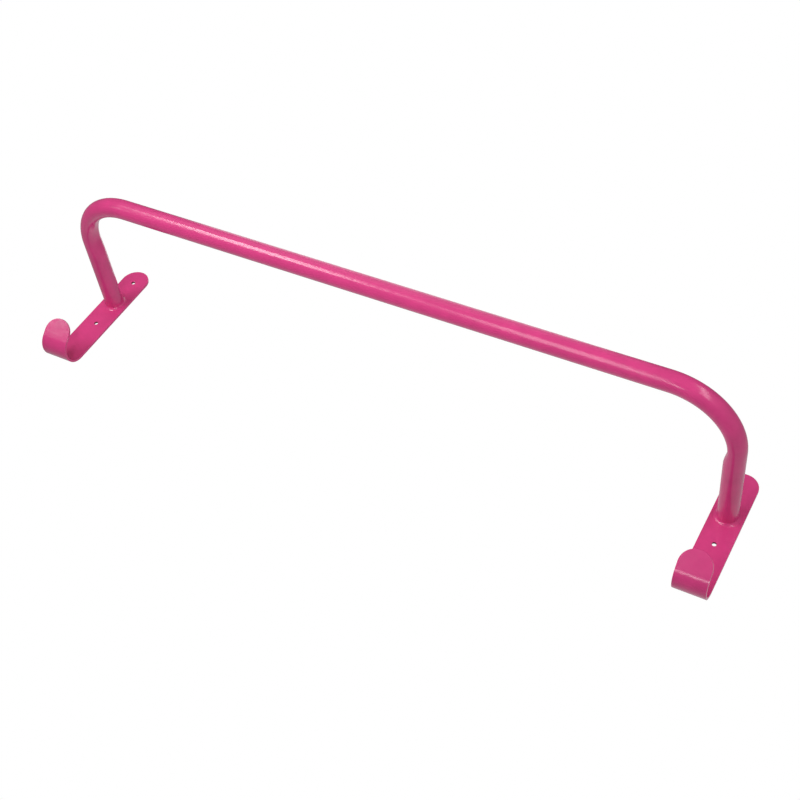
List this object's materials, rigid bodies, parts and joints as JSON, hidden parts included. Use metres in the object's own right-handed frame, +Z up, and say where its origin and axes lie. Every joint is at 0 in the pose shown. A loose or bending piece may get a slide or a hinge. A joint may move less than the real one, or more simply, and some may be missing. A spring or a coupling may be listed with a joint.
{
  "type": "wall-mounted hanging rail",
  "caption": "Round tube rail on two flat wall straps, each strap turned up into an open hook at its lower end, for hanging rugs, blankets and kit on a wall.",
  "frame": {"origin": "on the wall face that the straps lie on, midway between the two posts and level with their axes", "axes": "+X along the rail, +Y into the wall, +Z up, with the hooks at the bottom and the rail standing out towards -Y"},
  "size_m": [0.94, 0.2127, 0.195],
  "materials": {
    "rail_powder_coat": "satin magenta-pink powder coat on round steel tube",
    "strap_powder_coat": "satin magenta-pink powder coat on flat steel bar",
    "weld_powder_coat": "satin magenta-pink powder coat over a rippled weld"
  },
  "bodies": {
    "root": {"rail_tube": "rail_powder_coat", "left_hook_strap": "strap_powder_coat", "right_hook_strap": "strap_powder_coat", "left_weld_bead": "weld_powder_coat", "right_weld_bead": "weld_powder_coat"}
  },
  "joints": []
}
